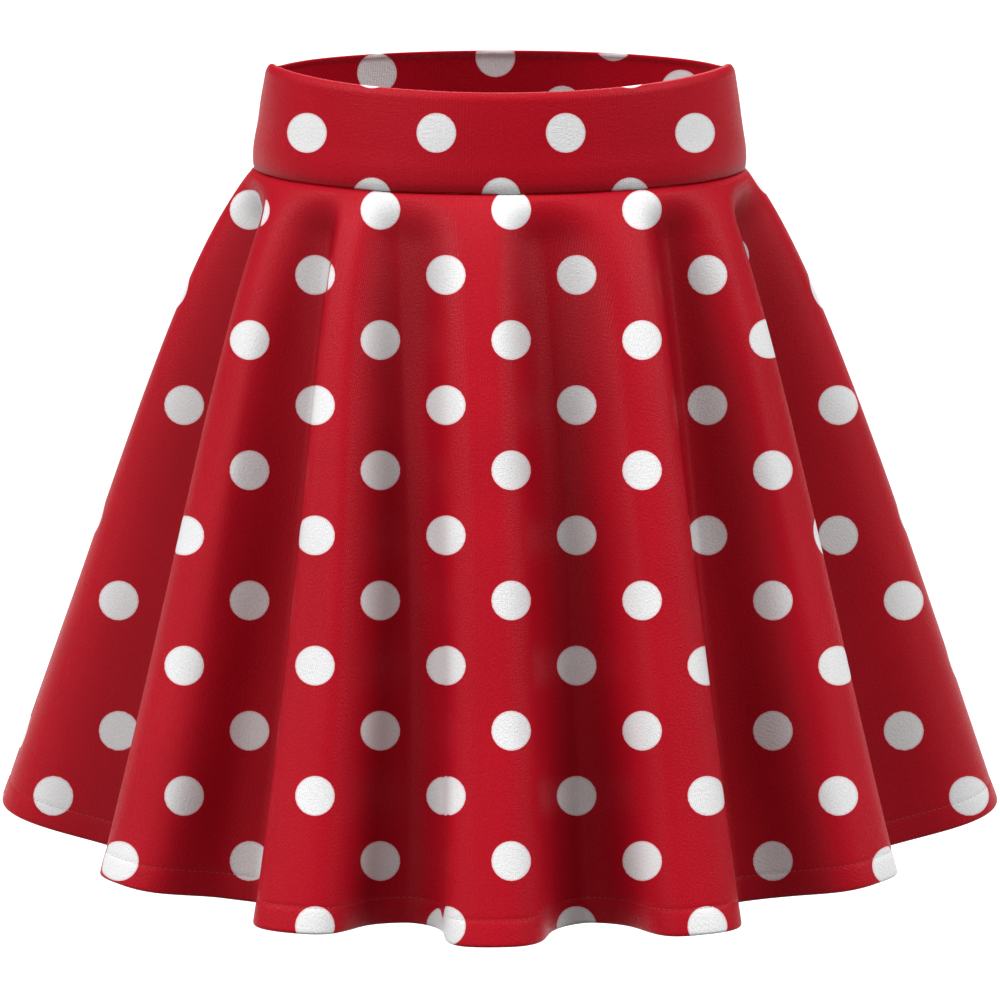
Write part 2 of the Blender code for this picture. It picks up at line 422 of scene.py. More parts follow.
# How a panel is searched for its dots: columns and rows of the search, how near a place has to be
# in dots and rows, and how much further off than the nearest layer of cloth it may be.
SEARCH_COLUMNS = 361
SEARCH_ROW = 0.0025
SEARCH_NEAR = 0.08
SAME_LAYER = 0.012
# How a place is then moved on to its dot.
SOLVE_STEPS = 5
SOLVE_NUDGE = 1e-4
LONGEST_STEP = np.array([0.05, 0.004])

# The front and the back keep their dots in their own sector, and beyond it where the cloth faces
# their eye. The sides keep theirs where it faces their eye, and less than this to the front or back.
# On the skirt, the panels reach over the side seams by some turns. On the band, the sides' panels
# end short of its edges.
OWN_SECTOR = math.radians(60.0)
LEAST_FACING = 0.42
SIDES_SIDEWAYS = 0.62
FACES_APART = 0.040
SIDES_APART = 0.042
OVER_SIDE_SEAM = 0.3
SIDE_REACH = 1.6
SIDES_FROM_EDGE = 0.006

# Cloth that the panels leave bare gets dots too, where no dot is nearer than this. It is looked for
# in steps of turns and of length. In the sectors of the front and the back, cloth only counts as
# bare where it is nearly edge on.
FILL_APART = 0.045
FILL_TURN = 0.06
FILL_ROW = 0.004
FILL_FACING = 0.30

# A dot of the front or the back is laid on the cloth from its eye, so that it is a circle from there.
# Its reach along that direction counts for a share on cloth that is edge on to it, so that no dot
# runs far down the flank of a flute, and in full on cloth that faces away. It ends at its reach, to
# stay off other layers. The dots of the sides and of bare cloth are round on the cloth itself.
FLANK_SHARE = 0.56
EDGE_ON = 0.05
FACES_IT = 0.42
FACES_AWAY = -0.30
DOT_REACH = 0.045
NO_DOT = 9.0

# Steps in turns and length for the general slope of the cloth, without its creases.
COARSE_STEP = (0.06, 0.006)


def mirrored(grid):
    return grid._replace(right=-grid.right, climb=-grid.climb)


def eye(view):
    return np.array([PRINT_EYE_BACK * math.sin(view), -PRINT_EYE_BACK * math.cos(view), PRINT_EYE_UP])


def flat_view(point, view):
    """Right, down and scale of points in the flat view from an azimuth."""
    right = point[..., 0] * math.cos(view) + point[..., 1] * math.sin(view)
    back = PRINT_EYE_BACK - point[..., 0] * math.sin(view) + point[..., 1] * math.cos(view)
    up = point[..., 2] - PRINT_EYE_UP
    distance = back * math.cos(PRINT_TILT) - up * math.sin(PRINT_TILT)
    height = back * math.sin(PRINT_TILT) + up * math.cos(PRINT_TILT)
    scale = PRINT_DISTANCE / distance
    return right * scale, -height * scale, scale


def print_place(panel, around, down):
    """Where places of the cloth lie on the panel's grid, in dots and in rows."""
    right, below, _ = flat_view(panel.surface(around, down), panel.view)
    right = right - panel.grid.right
    below = below - panel.grid.down
    climb = panel.grid.climb
    dots = (right * math.cos(climb) - below * math.sin(climb)) / panel.grid.pitch
    rows = (right * math.sin(climb) + below * math.cos(climb)) / panel.grid.row
    return dots, rows


def seek(panel, around, down, dots, rows):
    """Moves places of the cloth on to the places of the grid that they are meant for."""
    for _ in range(SOLVE_STEPS):
        here = print_place(panel, around, down)
        beside = print_place(panel, around + SOLVE_NUDGE, down)
        under = print_place(panel, around, down + SOLVE_NUDGE)
        slopes = np.empty(around.shape + (2, 2))
        for line in (0, 1):
            slopes[:, line, 0] = (beside[line] - here[line]) / SOLVE_NUDGE
            slopes[:, line, 1] = (under[line] - here[line]) / SOLVE_NUDGE
        miss = np.stack([dots - here[0], rows - here[1]], -1)
        step = np.einsum("nij,nj->ni", np.linalg.pinv(slopes), miss)
        step = np.clip(step, -LONGEST_STEP, LONGEST_STEP)
        around = around + step[:, 0]
        down = down + step[:, 1]
    return around, down


def near_dots(panel):
    """Places of the cloth near each of the panel's dots, on the layer nearest the eye."""
    columns = np.linspace(*panel.ends, SEARCH_COLUMNS)
    levels = np.arange(panel.down[0], panel.down[1] + SEARCH_ROW / 2, SEARCH_ROW)
    around, down = np.meshgrid(columns, levels, indexing="ij")
    dots, rows = print_place(panel, around, down)
    distance = np.linalg.norm(panel.surface(around, down) - eye(panel.view), axis=-1)
    found = []
    for row in range(math.ceil(rows.min()), math.floor(rows.max()) + 1):
        shift = 0.5 * (row % 2)
        for column in range(math.ceil(dots.min()), math.floor(dots.max() + 1.0) + 1):
            miss = np.hypot(dots - column + shift, rows - row)
            near = miss < SEARCH_NEAR
            if near.any():
                layer = near & (distance < distance[near].min() + SAME_LAYER)
                best = np.argmin(np.where(layer, miss, np.inf))
                found.append((around.flat[best], down.flat[best], column - shift, row))
    return np.array(found).T


def dots_that_stay(panel, facing, normal, seen):
    """Which dots of a panel lie on cloth that is the panel's to print."""
    faces = (seen * normal).sum(-1) > LEAST_FACING
    if panel.side:
        return faces & (np.abs(normal[:, 1]) < SIDES_SIDEWAYS)
    off_middle = (facing - panel.view + math.pi) % math.tau - math.pi
    return faces | (np.abs(off_middle) < OWN_SECTOR)


def panel_dots(panel, kept):
    """Adds the panel's dots to the ones kept so far."""
    around, down = seek(panel, *near_dots(panel))
    middle = panel.surface(around, down)
    normal = panel.sign * normal_of(panel.surface, around, down, *COARSE_STEP)
    seen = eye(panel.view) - middle
    seen = seen / np.linalg.norm(seen, axis=-1, keepdims=True)
    radius = DOT_RADIUS / flat_view(middle, panel.view)[2]
    stay = dots_that_stay(panel, panel.facing(around, down), normal, seen)
    for place in np.flatnonzero(stay):
        near = [other for other in kept if np.linalg.norm(other.middle - middle[place]) < panel.apart]
        if not near:
            kept.append(Dot(middle[place], seen[place], radius[place], panel.side))


def fill_dots(kept):
    """Adds dots to the skirt where its panels leave it bare, the barest place first."""
    turns = np.arange(0.0, len(FOLDS), FILL_TURN)
    lengths = np.arange(FILL_ROW, SKIRT_LENGTH, FILL_ROW)
    turn, length = np.meshgrid(turns, lengths, indexing="ij")
    point = skirt_surface(turn, length)
    normal = normal_of(skirt_surface, turn, length, *COARSE_STEP)
    in_sector = np.abs(np.cos(skirt_facing(turn, length))) > math.cos(OWN_SECTOR)
    bare = np.abs(normal[..., 1]) < np.where(in_sector, FILL_FACING, LEAST_FACING)
    gap = np.full(turn.shape, np.inf)
    for other in kept:
        gap = np.minimum(gap, np.linalg.norm(point - other.middle, axis=-1))
    gap = np.where(bare, gap, 0.0)
    while gap.max() > FILL_APART:
        place = np.unravel_index(np.argmax(gap), gap.shape)
        kept.append(Dot(point[place], normal[place], DOT_RADIUS, True))
        gap = np.minimum(gap, np.linalg.norm(point - point[place], axis=-1))


def dot_distance(dots, point, normal):
    """Distance of points of the cloth to the nearest dot's middle, in its radii."""
    least = np.full(point.shape[:-1], NO_DOT)
    for dot in dots:
        offset = point - dot.middle
        square = (offset**2).sum(-1)
        if dot.round:
            away = np.sqrt(square) / dot.radius
        else:
            faces = normal @ dot.laid
            depth = offset @ dot.laid
            share = FLANK_SHARE * smooth((FACES_IT - faces) / (FACES_IT - EDGE_ON))
            share += (1.0 - FLANK_SHARE) * smooth((EDGE_ON - faces) / (EDGE_ON - FACES_AWAY))
            aside = np.maximum(square - depth**2, 0.0)
            away = np.sqrt(aside + (share * depth) ** 2) / dot.radius
            away = np.maximum(away, np.sqrt(square) / DOT_REACH)
        least = np.minimum(least, away)
    return least


def skirt_facing(turn, length):
    return fold_at(turn, length / SKIRT_LENGTH)[0]


def lining_surface(facing, drop):
    """Inner face of the waistband."""
    normal = normal_of(band_surface, facing, drop, SLOPE_STEP, SLOPE_STEP)
    return band_surface(facing, drop) - BAND_THICKNESS * normal


def skirt_dots():
    """All dots of the skirt: front and back first, then the sides, then what is still bare."""
    down = (-PRINT_MARGIN, SKIRT_LENGTH + PRINT_MARGIN)
    front = (-OVER_SIDE_SEAM, FRONT_FOLDS + OVER_SIDE_SEAM)
    back = (FRONT_FOLDS - OVER_SIDE_SEAM, len(FOLDS) + OVER_SIDE_SEAM)
    right = (FRONT_FOLDS - SIDE_REACH, FRONT_FOLDS + SIDE_REACH)
    left = (-SIDE_REACH, SIDE_REACH)
    kept = []
    for grid, view, ends, apart, side in (
        (SKIRT_GRID, FRONT, front, 0.0, False),
        (mirrored(SKIRT_GRID), BACK, back, FACES_APART, False),
        (SKIRT_SIDE_GRID, RIGHT, right, SIDES_APART, True),
        (SKIRT_SIDE_GRID, LEFT, left, SIDES_APART, True),
    ):
        panel = Panel(grid, view, skirt_surface, 1, skirt_facing, ends, down, apart, side)
        panel_dots(panel, kept)
    fill_dots(kept)
    return kept


def band_dots(surface, sign, grid, side_grid):
    """All dots of one face of the band. Its inner face is seen from the far side."""
    turned = 0.0 if sign > 0 else math.pi
    first, second = (FRONT, BACK) if sign > 0 else (BACK, FRONT)

    def seen_facing(facing, drop):
        return facing + turned

    kept = []
    for own_grid, middle, apart, side in (
        (grid, first, 0.0, False),
        (mirrored(grid), second, FACES_APART, False),
        (side_grid, RIGHT, SIDES_APART, True),
        (side_grid, LEFT, SIDES_APART, True),
    ):
        margin = -SIDES_FROM_EDGE if side else PRINT_MARGIN / 2
        down = (-margin, BAND_HEIGHT + margin)
        ends = (middle - math.pi / 2, middle + math.pi / 2)
        view = middle + turned
        panel = Panel(own_grid, view, surface, sign, seen_facing, ends, down, apart, side)
        panel_dots(panel, kept)
    return kept


# ---------------------------------------------------------------------------------------------
# Meshes
# ---------------------------------------------------------------------------------------------

# Columns of the meshes, even but for a few more close to both ends, in shares of a column.
COLUMNS_PER_FOLD = 56
BAND_COLUMNS = 200
FINE_ENDS = np.array([0.25, 0.5, 0.75, 1.4])

# Rows of the meshes, down the cloth: even stretches, and rows of their own at the hem and its
# stitching, which are given from the edge of the hem. The turns round the hem and over the top of the
# band have rows of their own too, in these steps.
Rows = namedtuple("Rows", "first last count")
SKIRT_OUTSIDE_ROWS = (Rows(0.0, 0.0100, 9), Rows(0.0127, SKIRT_LENGTH - 0.0180, 117))
SKIRT_INSIDE_ROWS = (Rows(0.0, 0.0100, 7), Rows(0.0150, SKIRT_LENGTH - 0.0180, 60))
STITCHING_ROWS = HEM_DEPTH + np.array([0.0030, 0.0018, 0.0012, 0.0006, 0.0, -0.0006, -0.0012, -0.0018])
HEM_ROWS = np.array([0.0090, 0.0065, 0.0040, 0.0027, 0.0015])
HEM_ROUND = 0.0015
HEM_ROUND_STEPS = 8
BAND_ROWS = (Rows(0.0012, 0.0078, 9), Rows(0.0097, 0.0370, 16), Rows(0.0385, BAND_HEIGHT, 12))
BAND_ROUND = 0.0012
BAND_ROUND_STEPS = 10

# The cut: each half of the skirt is a sector of a ring, from minus to plus this angle, and each half
# of the band a curved strip. The run of the cloth at this length spaces the sector's columns.
CUT_ANGLE = math.radians(58.9)
CUT_INNER_RADIUS = 0.1725
CUT_LENGTH = 0.184

# The inside begins half way through the cloth, and its paler reverse is full when this share of the
# thickness more is passed.
INSIDE_FROM = 0.5
INSIDE_WITHIN = 0.25


def add_object(name, data):
    obj = bpy.data.objects.new(name, data)
    bpy.context.scene.collection.objects.link(obj)
    return obj


def strip_mesh(name, grid, layers):
    """Closed shell from a grid of points whose rows run round the cloth's section.

    grid is sections x columns x 3. layers holds the points' values: their place on the flat cut as
    grain_u and grain_v, and dot, inside and depth, where depth is the mask of the painted shade.
    """
    sections, columns, _ = grid.shape
    number = np.arange(sections * columns).reshape(sections, columns)
    following = np.roll(number, -1, axis=0)
    quads = np.stack(
        [number[:, :-1], following[:, :-1], following[:, 1:], number[:, 1:]], -1
    ).reshape(-1, 4)
    faces = quads.tolist()
    faces.append(number[:, 0].tolist()[::-1])
    faces.append(number[:, -1].tolist())
    mesh = bpy.data.meshes.new(name)
    mesh.from_pydata(grid.reshape(-1, 3).tolist(), [], faces)
    mesh.shade_smooth()
    corners = np.zeros(len(mesh.loops), np.int32)
    mesh.loops.foreach_get("vertex_index", corners)
    pairs = np.stack([layers["grain_u"].ravel(), layers["grain_v"].ravel()], -1)
    mesh.uv_layers.new(name="grain").data.foreach_set("uv", pairs[corners].astype(np.float32).ravel())
    for layer in ("dot", "inside", "depth"):
        values = mesh.attributes.new(layer, "FLOAT", "POINT").data
        values.foreach_set("value", layers[layer].astype(np.float32).ravel())
    return add_object(name, mesh)


def with_fine_ends(first, last, steps):
    """Even values with a few more close to both ends."""
    even = np.linspace(first, last, steps + 1)
    near = (even[1] - even[0]) * FINE_ENDS
    return np.unique(np.concatenate([even, first + near, last - near]))


def spaced(parts):
    return [np.linspace(part.first, part.last, part.count) for part in parts]


def skirt_section():
    """Lengths and depths round the section: down the outside, round the hem and up the inside."""
    stitching = SKIRT_LENGTH - STITCHING_ROWS
    hem = SKIRT_LENGTH - HEM_ROWS
    outside = np.concatenate([*spaced(SKIRT_OUTSIDE_ROWS), stitching, hem])
    inside = np.concatenate([*spaced(SKIRT_INSIDE_ROWS), stitching[::2], hem])
    bend = np.linspace(0.0, math.pi, HEM_ROUND_STEPS + 1)[1:-1]
    rounded = SKIRT_LENGTH - HEM_ROUND + HEM_ROUND * np.sin(bend)
    length = np.concatenate([outside, rounded, inside[::-1]])
    turned = (1.0 - np.cos(bend)) / 2
    return length, np.concatenate([np.zeros_like(outside), turned, np.ones_like(inside)])


def inside_thickness(facing, length):
    """Thickness of the cloth with its turned-up hem and its seam allowances."""
    from_side = side_distance(facing, length) - ALLOWANCE_WIDTH
    hem = 1.0 - smooth((SKIRT_LENGTH - length - HEM_DEPTH) / ALLOWANCE_STEP)
    waist = 1.0 - smooth((length - ALLOWANCE_WIDTH) / ALLOWANCE_STEP)
    side = 1.0 - smooth(from_side / SIDE_ALLOWANCE_STEP)
    return SKIRT_THICKNESS + ALLOWANCE_THICKNESS * np.maximum(np.maximum(hem, waist), side)


def keep_side(grid, side):
    """Keeps points on their own side, -1 front or 1 back, of the plane of the side seams."""
    grid[..., 1] = side * np.maximum(side * grid[..., 1], SEAM_CLEARANCE)


def cut_angles(ring):
    """Angles in the flat cut of the columns of one ring of the skirt's cloth."""
    run = run_along(ring)
    return (run / run[-1] * 2.0 - 1.0) * CUT_ANGLE


def build_skirt(half, dots):
    first, last = TURN_ENDS[half]
    turns = with_fine_ends(first, last, (last - first) * COLUMNS_PER_FOLD)
    lengths, shares = skirt_section()
    length, turn = np.meshgrid(lengths, turns, indexing="ij")
    share = shares[:, None] + 0.0 * turn
    outer = skirt_surface(turn, length)
    normal = normal_of(skirt_surface, turn, length, SLOPE_STEP, SLOPE_STEP)
    thickness = inside_thickness(skirt_facing(turn, length), length)
    grid = outer - normal * (thickness * share)[..., None]
    keep_side(grid, SIDE[half])
    cut = cut_angles(outer[np.argmax(lengths > CUT_LENGTH)])
    layers = {
        "dot": dot_distance(dots, outer, normal),
        "grain_u": (CUT_INNER_RADIUS + length) * np.sin(cut),
        "grain_v": (CUT_INNER_RADIUS + length) * np.cos(cut),
        "inside": smooth((share - INSIDE_FROM) / INSIDE_WITHIN),
        # depth is the painted shade, darkest deep in the valleys.
        "depth": painted_valley_shade(turn, length),
    }
    return strip_mesh("skirt_" + half + "_cloth", grid, layers)


def band_section():
    """Drops and depths round the section: up the outside, over the top and down the inside."""
    drops = np.concatenate(spaced(BAND_ROWS))
    bend = np.linspace(0.0, math.pi, BAND_ROUND_STEPS + 1)[1:-1]
    rounded = BAND_ROUND * (1.0 - np.sin(bend))
    drop = np.concatenate([drops[::-1], rounded, drops])
    turned = (1.0 - np.cos(bend)) / 2
    return drop, np.concatenate([np.zeros_like(drops), turned, np.ones_like(drops)])


def build_band(half, outside_dots, lining_dots):
    facings = with_fine_ends(MIDDLE[half] - math.pi / 2, MIDDLE[half] + math.pi / 2, BAND_COLUMNS)
    drops, shares = band_section()
    drop, facing = np.meshgrid(drops, facings, indexing="ij")
    share = shares[:, None] + 0.0 * drop
    normal = normal_of(band_surface, facing, drop, SLOPE_STEP, SLOPE_STEP)
    outer = band_surface(facing, drop)
    grid = outer - normal * (BAND_THICKNESS * share)[..., None]
    keep_side(grid, SIDE[half])
    outside = dot_distance(outside_dots, outer, normal)
    lining = dot_distance(lining_dots, grid, -normal)
    layers = {
        "dot": np.where(share > INSIDE_FROM, lining, outside),
        "grain_u": facing * (WAIST_HALF_WIDTH + WAIST_HALF_DEPTH) / 2,
        "grain_v": drop,
        "inside": 0.0 * share,
        # depth is the painted shade just above the waist seam, on the outer layer only.
        "depth": SEAM_PAINTED_SHADE * bell(BAND_HEIGHT - drop, SEAM_PAINTED_SHADE_HEIGHT) * (1.0 - share),
    }
    layers = {name: values[::-1] for name, values in layers.items()}
    return strip_mesh("waistband_" + half + "_cloth", grid[::-1], layers)


# ---------------------------------------------------------------------------------------------
# Hem stitches
# ---------------------------------------------------------------------------------------------

# Each stitch is a short strand, sunk a little into the cloth. It has rings of points at these shares
# of its half length, with these shares of its girth. Its place is looked up along the hem.
STITCH_PITCH = 0.0030
STITCH_LENGTH = 0.0023
STITCH_HALF_WIDTH = 0.00024
STITCH_HALF_HEIGHT = 0.00020
STITCH_SINK = 0.00004
STITCH_RINGS = (-1.0, -0.8, 0.0, 0.8, 1.0)
STITCH_GIRTH = (0.15, 0.75, 1.0, 0.75, 0.15)
STITCH_SIDES = 6
STITCH_SEARCH = 6000
STITCH_LOOK_AHEAD = 1e-4


def strand_points(starts, run, path, normal):
    """Rings of points of short plump strands that lie along a path, on cloth with these normals."""

    def place_at(distance):
        return np.stack([np.interp(distance, run, path[:, axis]) for axis in range(3)], -1)

    along = starts[:, None] + np.array(STITCH_RINGS) * STITCH_LENGTH / 2
    spot = place_at(along)
    ahead = place_at(along + STITCH_LOOK_AHEAD) - spot
    ahead = ahead / np.linalg.norm(ahead, axis=-1, keepdims=True)
    up = normal[:, None] - ahead * (normal[:, None] * ahead).sum(-1, keepdims=True)
    up = up / np.linalg.norm(up, axis=-1, keepdims=True)
    beside = np.cross(ahead, up)
    angle = math.tau * np.arange(STITCH_SIDES) / STITCH_SIDES
    girth = np.array(STITCH_GIRTH)[:, None]
    rise = (np.sin(angle) * STITCH_HALF_HEIGHT * girth - STITCH_SINK)[..., None]
    aside = (np.cos(angle) * STITCH_HALF_WIDTH * girth)[..., None]
    return spot[:, :, None] + up[:, :, None] * rise + beside[:, :, None] * aside


def strand_faces(first):
    """Faces of the strand whose points start at this number: sides ring by ring, then both ends."""
    rings = first + np.arange(len(STITCH_RINGS) * STITCH_SIDES).reshape(-1, STITCH_SIDES)
    onward = np.roll(rings, -1, axis=1)
    sides = np.stack([rings[:-1], onward[:-1], onward[1:], rings[1:]], -1).reshape(-1, 4)
    return [*sides.tolist(), rings[0, ::-1].tolist(), rings[-1].tolist()]


def build_stitches(half, dots):
    """One row of short stitches along the hem."""
    turns = np.linspace(*TURN_ENDS[half], STITCH_SEARCH)
    path = skirt_surface(turns, np.full_like(turns, SKIRT_LENGTH - HEM_DEPTH))
    run = run_along(path)
    count = int(run[-1] / STITCH_PITCH)
    starts = (np.arange(count) + 0.5) * run[-1] / count
    turn = np.interp(starts, run, turns)
    length = np.full_like(turn, SKIRT_LENGTH - HEM_DEPTH)
    centre = skirt_surface(turn, length)
    normal = normal_of(skirt_surface, turn, length, SLOPE_STEP, SLOPE_STEP)
    points = strand_points(starts, run, path, normal)
    each = len(STITCH_RINGS) * STITCH_SIDES
    faces = []
    for first in range(0, count * each, each):
        faces += strand_faces(first)
    name = "hem_stitches_" + half
    mesh = bpy.data.meshes.new(name)
    mesh.from_pydata(points.reshape(-1, 3).tolist(), [], faces)
    mesh.shade_smooth()
    # depth is the painted shade of the valleys, the same as on the cloth under the stitches.
    layers = {"dot": dot_distance(dots, centre, normal), "depth": painted_valley_shade(turn, length)}
    for layer, values in layers.items():
        data = mesh.attributes.new(layer, "FLOAT", "POINT").data
        data.foreach_set("value", np.repeat(values, each).astype(np.float32))
    return add_object(name, mesh)


# ---------------------------------------------------------------------------------------------
# Materials
# ---------------------------------------------------------------------------------------------

RED = (0.470, 0.0042, 0.0150, 1.0)
WHITE = (0.900, 0.900, 0.905, 1.0)
RIM_PINK = (0.870, 0.560, 0.600, 1.0)
REVERSE_RED = (0.480, 0.050, 0.065, 1.0)
REVERSE_WHITE = (0.800, 0.640, 0.650, 1.0)
FLOOR_WHITE = (0.93, 0.93, 0.93, 1.0)
# Painted shade: the colour is darkened by up to this share where the depth attribute is full.
PAINTED_SHADE_STRENGTH = 0.36

# Places of a dot's print, in its radii: where it begins and ends to turn pink at its rim, and where
# it begins and ends to give way to the red.
RIM_FROM = 0.88
RIM_TO = 0.97
RIM_STRENGTH = 0.55
INK_FULL = 0.98
INK_GONE = 1.02

# The knit: width of a wale, height of a course, how much the loops vary the wales, the height of
# their relief, and the fibres over them.
WALE = 0.0011
COURSE = 0.0009
LOOP_SHARE = 0.35
LOOP_RELIEF = 0.00012
FIBRE_RELIEF = 0.00045
FIBRE_SCALE = 850.0
FIBRE_DETAIL = 2.0
RELIEF_STRENGTH = 0.55
KNIT_SHEEN = {
    "Specular IOR Level": 0.10,
    "Sheen Weight": 0.02,
    "Sheen Roughness": 0.35,
    "Sheen Tint": (1.0, 0.15, 0.20, 1.0),
}
THREAD_ROUGHNESS = 0.5
FLOOR_ROUGHNESS = 0.9

# Uneven values: the scale and detail of a noise, and the values that its low and high end give.
Uneven = namedtuple("Uneven", "scale detail low high")
FIBRE_SHADE = Uneven(900.0, 3.0, 0.93, 1.05)
CLOUDY_SHADE = Uneven(14.0, 2.0, 0.95, 1.04)
KNIT_ROUGHNESS = Uneven(700.0, 2.0, 0.36, 0.46)
THREAD_SHADE = Uneven(2600.0, 1.0, 0.55, 0.85)
NOISE_LOW = 0.3
NOISE_HIGH = 0.7


class Nodes:
    """Short way to write a node tree: each call adds a node and returns its output."""

    def __init__(self, tree):
        self.tree = tree

    def put(self, socket, value):
        if isinstance(value, bpy.types.NodeSocket):
            self.tree.links.new(value, socket)
        else:
            socket.default_value = value

    def math(self, operation, first, second=None):
        node = self.tree.nodes.new("ShaderNodeMath")
        node.operation = operation
        self.put(node.inputs[0], first)
        if second is not None:
            self.put(node.inputs[1], second)
        return node.outputs[0]

    def mix(self, share, first, second, blend="MIX"):
        node = self.tree.nodes.new("ShaderNodeMix")
        node.data_type = "RGBA"
        node.blend_type = blend
        self.put(node.inputs["Factor"], share)
        colours = [socket for socket in node.inputs if socket.type == "RGBA"]
        self.put(colours[0], first)
        self.put(colours[1], second)
        return [socket for socket in node.outputs if socket.type == "RGBA"][0]

    def ramp(self, value, low, high, to_low=0.0, to_high=1.0):
        node = self.tree.nodes.new("ShaderNodeMapRange")
        node.interpolation_type = "SMOOTHSTEP"
        for place, number in enumerate((value, low, high, to_low, to_high)):
            self.put(node.inputs[place], number)
        return node.outputs[0]

    def noise(self, vector, scale, detail):
        node = self.tree.nodes.new("ShaderNodeTexNoise")
        self.put(node.inputs["Vector"], vector)
        node.inputs["Scale"].default_value = scale
        node.inputs["Detail"].default_value = detail
        return node.outputs["Fac"]

    def uneven(self, vector, values):
        noise = self.noise(vector, values.scale, values.detail)
        return self.ramp(noise, NOISE_LOW, NOISE_HIGH, values.low, values.high)

    def grey(self, value):
        node = self.tree.nodes.new("ShaderNodeCombineColor")
        for socket in node.inputs[:3]:
            self.put(socket, value)
        return node.outputs[0]

    def uv(self, name):
        node = self.tree.nodes.new("ShaderNodeUVMap")
        node.uv_map = name
        return node.outputs["UV"]

    def attribute(self, name):
        node = self.tree.nodes.new("ShaderNodeAttribute")
        node.attribute_name = name
        return node.outputs["Fac"]

    def split(self, vector):
        node = self.tree.nodes.new("ShaderNodeSeparateXYZ")
        self.put(node.inputs[0], vector)
        return node.outputs[0], node.outputs[1]

    def bump(self, height, distance, strength, normal=None):
        node = self.tree.nodes.new("ShaderNodeBump")
        node.inputs["Strength"].default_value = strength
        node.inputs["Distance"].default_value = distance
        self.put(node.inputs["Height"], height)
        if normal is not None:
            self.put(node.inputs["Normal"], normal)
        return node.outputs["Normal"]


def printed_colour(nodes, red, white):
    """The print's colour, from the distance to the nearest dot's middle in its radii."""
    distance = nodes.attribute("dot")
    rim = nodes.ramp(distance, RIM_FROM, RIM_TO)
    dot = nodes.mix(rim, white, nodes.mix(RIM_STRENGTH, white, RIM_PINK))
    on_dot = nodes.ramp(distance, INK_GONE, INK_FULL)
    return nodes.mix(on_dot, red, dot)


def painted_shade(nodes):
    """Painted shade: how much darker the colour is made where cloth lies deep between its neighbours
    and just above the waist seam.
    """
    return nodes.math("SUBTRACT", 1.0, nodes.math("MULTIPLY", nodes.attribute("depth"), PAINTED_SHADE_STRENGTH))


def knit_height(nodes):
    """Loops of a fine jersey: wales side by side, each a row of small leaning loops."""
    across, down = nodes.split(nodes.uv("grain"))
    wale = nodes.math("DIVIDE", across, WALE)
    rib = nodes.math("ABSOLUTE", nodes.math("SINE", nodes.math("MULTIPLY", wale, math.pi)))
    lean = nodes.math("PINGPONG", wale, 0.5)
    course = nodes.math("ADD", nodes.math("DIVIDE", down, COURSE), lean)
    loop = nodes.math("SINE", nodes.math("MULTIPLY", course, math.tau))
    loop = nodes.math("MULTIPLY", loop, LOOP_SHARE)
    return nodes.math("ADD", rib, nodes.math("MULTIPLY", rib, loop))


def new_material(name):
    material = bpy.data.materials.new(name)
    material.use_nodes = True
    return material, material.node_tree.nodes["Principled BSDF"]


def knit_material(name):
    material, shader = new_material(name)
    nodes = Nodes(material.node_tree)
    grain = nodes.uv("grain")
    outside = printed_colour(nodes, RED, WHITE)
    reverse = printed_colour(nodes, REVERSE_RED, REVERSE_WHITE)
    colour = nodes.mix(nodes.attribute("inside"), outside, reverse)
    shade = nodes.math("MULTIPLY", nodes.uneven(grain, FIBRE_SHADE), nodes.uneven(grain, CLOUDY_SHADE))
    # Painted shade darkens the base colour in the valleys and above the waist seam.
    shade = nodes.math("MULTIPLY", shade, painted_shade(nodes))
    nodes.put(shader.inputs["Base Color"], nodes.mix(1.0, colour, nodes.grey(shade), "MULTIPLY"))
    nodes.put(shader.inputs["Roughness"], nodes.uneven(grain, KNIT_ROUGHNESS))
    relief = nodes.bump(knit_height(nodes), LOOP_RELIEF, RELIEF_STRENGTH)
    fibres = nodes.noise(grain, FIBRE_SCALE, FIBRE_DETAIL)
    relief = nodes.bump(fibres, FIBRE_RELIEF, RELIEF_STRENGTH, relief)
    nodes.put(shader.inputs["Normal"], relief)
    for name_of_input, value in KNIT_SHEEN.items():
        shader.inputs[name_of_input].default_value = value
    return material


def thread_material():
    material, shader = new_material("sewing_thread")
    nodes = Nodes(material.node_tree)
    colour = printed_colour(nodes, RED, WHITE)
    place = material.node_tree.nodes.new("ShaderNodeTexCoord").outputs["Object"]
    # The thread gets the same painted shade in the valleys as the cloth.
    shade = nodes.math("MULTIPLY", nodes.uneven(place, THREAD_SHADE), painted_shade(nodes))
    nodes.put(shader.inputs["Base Color"], nodes.mix(1.0, colour, nodes.grey(shade), "MULTIPLY"))
    shader.inputs["Roughness"].default_value = THREAD_ROUGHNESS
    return material


# ---------------------------------------------------------------------------------------------
# Stage
# ---------------------------------------------------------------------------------------------

CAMERA_BACK = 2.1677
CAMERA_UP = 0.2936
CAMERA_DIP = math.radians(12.906)
CAMERA_SEES_TO = 200.0
LENS = 151.45
SENSOR = 36.0
FLOOR_BELOW_WAIST = 1.05
FLOOR_SIZE = 60.0
# Strength of the white world as the camera sees it, and as it lights the cloth.
SKY_SEEN = 1.0
SKY_LIGHT = 0.14

# Soft lights, by their azimuth, 0 in front and 90 at +X, and elevation. "softness" is how wide they
# are. All three are in degrees.
Sun = namedtuple("Sun", "name azimuth elevation strength softness")
SUNS = (
    Sun("left", -72.0, 42.0, 2.15, 26.0),
    Sun("right", 74.0, 38.0, 1.85, 26.0),
    Sun("above", 0.0, 75.0, 1.2, 30.0),
    Sun("front", -35.0, 15.0, 0.4, 24.0),
    Sun("back", 170.0, 40.0, 1.3, 40.0),
)


def add_camera():
    data = bpy.data.cameras.new("camera")
    data.lens = LENS
    data.sensor_width = SENSOR
    data.clip_end = CAMERA_SEES_TO
    camera = add_object("camera", data)
    camera.location = (0.0, -CAMERA_BACK, CAMERA_UP)
    camera.rotation_euler = (math.pi / 2 - CAMERA_DIP, 0.0, 0.0)
    bpy.context.scene.camera = camera


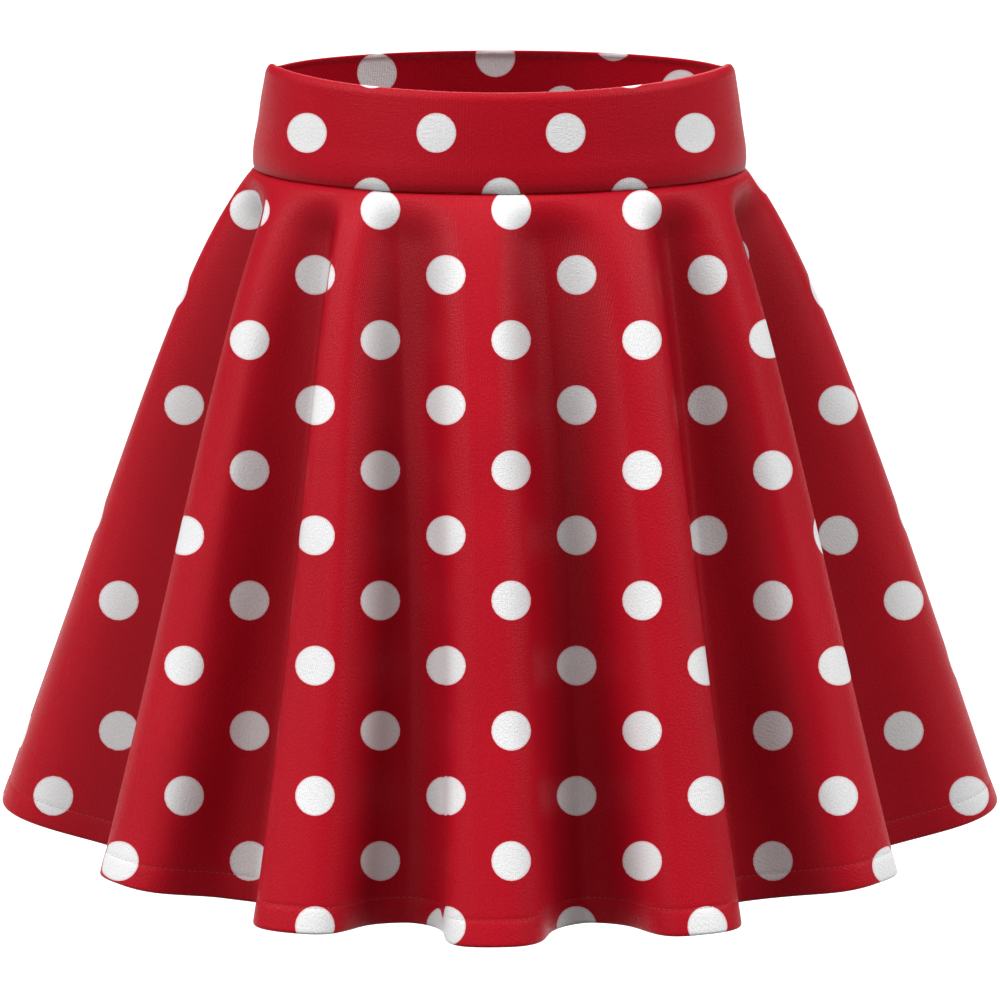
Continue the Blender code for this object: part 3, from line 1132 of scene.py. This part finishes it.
def add_sun(sun):
    data = bpy.data.lights.new(sun.name, "SUN")
    data.energy = sun.strength
    data.angle = math.radians(sun.softness)
    light = add_object(sun.name, data)
    light.rotation_euler = (math.radians(90.0 - sun.elevation), 0.0, math.radians(sun.azimuth))


def add_floor():
    half = FLOOR_SIZE / 2
    mesh = bpy.data.meshes.new("floor")
    corners = [(-half, -half), (half, -half), (half, half), (-half, half)]
    mesh.from_pydata([(x, y, -FLOOR_BELOW_WAIST) for x, y in corners], [], [(0, 1, 2, 3)])
    floor = add_object("floor", mesh)
    material, shader = new_material("floor")
    shader.inputs["Base Color"].default_value = FLOOR_WHITE
    shader.inputs["Roughness"].default_value = FLOOR_ROUGHNESS
    mesh.materials.append(material)
    floor.visible_diffuse = False


def add_world():
    """A white backdrop that lights the cloth only a little."""
    world = bpy.data.worlds.new("studio")
    bpy.context.scene.world = world
    world.use_nodes = True
    tree = world.node_tree
    background = tree.nodes["Background"]
    background.inputs["Color"].default_value = (1.0, 1.0, 1.0, 1.0)
    path = tree.nodes.new("ShaderNodeLightPath")
    strength = tree.nodes.new("ShaderNodeMapRange")
    strength.inputs["To Min"].default_value = SKY_LIGHT
    strength.inputs["To Max"].default_value = SKY_SEEN
    tree.links.new(path.outputs["Is Camera Ray"], strength.inputs["Value"])
    tree.links.new(strength.outputs[0], background.inputs["Strength"])


def build_garment():
    band_knit = knit_material("band_knit")
    skirt_knit = knit_material("skirt_knit")
    thread = thread_material()
    dots = skirt_dots()
    outside_dots = band_dots(band_surface, 1, BAND_GRID, BAND_SIDE_GRID)
    lining_dots = band_dots(lining_surface, -1, LINING_GRID, LINING_SIDE_GRID)
    for half in ("front", "back"):
        band = build_band(half, outside_dots, lining_dots)
        band.data.materials.append(band_knit)
        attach(band, BODY)
        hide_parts("waistband_" + half)
        stitches = build_stitches(half, dots)
        stitches.data.materials.append(thread)
        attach(stitches, BODY)
        cloth = build_skirt(half, dots)
        cloth.data.materials.append(skirt_knit)
        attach(cloth, BODY)
        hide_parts("skirt_" + half)


def main():
    scene = bpy.context.scene
    scene.view_settings.view_transform = "Standard"
    add_camera()
    add_world()
    add_floor()
    for sun in SUNS:
        add_sun(sun)
    build_garment()


main()
